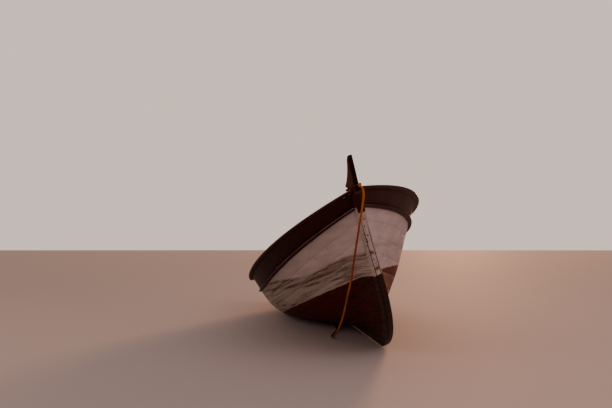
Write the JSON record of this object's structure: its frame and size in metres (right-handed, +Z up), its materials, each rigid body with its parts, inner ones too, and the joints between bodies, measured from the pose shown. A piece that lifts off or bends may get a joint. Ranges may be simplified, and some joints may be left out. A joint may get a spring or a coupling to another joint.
{
  "type": "wooden rowing boat",
  "caption": "Open planked wooden rowing boat with a raked stem head, thwarts, rails and a painter, lying heeled on keel and bilge.",
  "frame": {"origin": "middle of the boat's box, on the ground it lies on, measured without the painter", "axes": "+X towards the bow, +Y to port, +Z up from the ground; the boat lies heeled about 21 degrees to starboard"},
  "size_m": [4.9832, 1.5497, 1.2818],
  "materials": {
    "hull_paint": "worn painted timber, pale above the waterline and dark red below",
    "bulwark_paint": "worn dark brown paint over timber",
    "backbone_timber": "weathered oiled timber with old red paint",
    "bare_head_timber": "bare varnished timber, darkened",
    "band_metal": "old pale paint with rust at the fastenings",
    "rail_timber": "worn dark brown paint, bare at the edges",
    "inner_timber": "worn pale paint",
    "seat_timber": "worn bare timber",
    "floor_timber": "bare grey timber",
    "socket_metal": "galvanised and rusted",
    "rope": "laid rope, faded orange"
  },
  "bodies": {
    "root": {"aft_thwart": "seat_timber", "apron": "inner_timber", "breasthook": "inner_timber", "bulwark_strakes": "bulwark_paint", "cap_rails": "rail_timber", "eighth_strakes": "hull_paint", "fifth_strakes": "hull_paint", "floor_timbers": "inner_timber", "floorboards": "floor_timber", "forward_thwart": "seat_timber", "fourth_strakes": "hull_paint", "garboard_strakes": "hull_paint", "inwales": "rail_timber", "keel": "backbone_timber", "middle_thwart": "seat_timber", "nose_piece": "bare_head_timber", "painter": "rope", "painter_coil": "rope", "painter_hitch": "rope", "quarter_knees": "inner_timber", "risers": "inner_timber", "rowlock_sockets": "socket_metal", "rub_rails": "rail_timber", "second_strakes": "hull_paint", "seventh_strakes": "hull_paint", "side_frames": "inner_timber", "sixth_strakes": "hull_paint", "stem": "backbone_timber", "stem_band": "band_metal", "stem_head": "bare_head_timber", "stern_bench": "seat_timber", "sternpost": "backbone_timber", "third_strakes": "hull_paint", "thwart_knees": "inner_timber", "transom": "hull_paint"}
  },
  "joints": []
}
